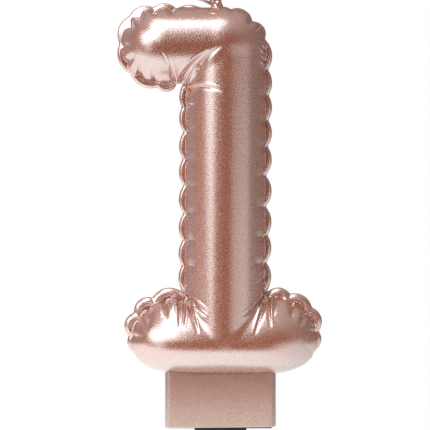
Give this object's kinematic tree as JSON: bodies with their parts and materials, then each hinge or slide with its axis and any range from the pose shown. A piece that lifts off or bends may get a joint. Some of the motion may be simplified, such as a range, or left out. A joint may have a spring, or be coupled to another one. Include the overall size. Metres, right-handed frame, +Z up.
{
  "type": "number birthday candle",
  "caption": "Numeral one birthday candle shaped like a foil balloon, on a block, with a wick and a push-in cake pick.",
  "frame": {"origin": "on the cake's surface, at the middle of the underside of the pick's flange", "axes": "+Z up the candle, -Y towards the front, so that the numeral's flag points to -X"},
  "size_m": [0.0454, 0.0172, 0.1329],
  "materials": {
    "lacquered_wax": "satin",
    "lacquered_wick": "satin",
    "wick_cotton": "matte",
    "black_plastic": "satin"
  },
  "bodies": {
    "pick": {"cake_pick": "black_plastic"},
    "candle": {"number_body": "lacquered_wax", "plinth": "lacquered_wax", "wick_collar": "lacquered_wax", "wick_core": "wick_cotton"},
    "wick": {"wick_tip": "lacquered_wick"}
  },
  "joints": [
    {"name": "candle_lift", "type": "slide", "parent": "pick", "child": "candle", "axis": [0, 0, 1], "range_m": [0, 0.012]},
    {"name": "wick_bend", "type": "hinge", "parent": "candle", "child": "wick", "pos_m": [-0.0008, 0, 0.09295], "axis": [0, 1, 0], "range_deg": [-25, 45]}
  ]
}
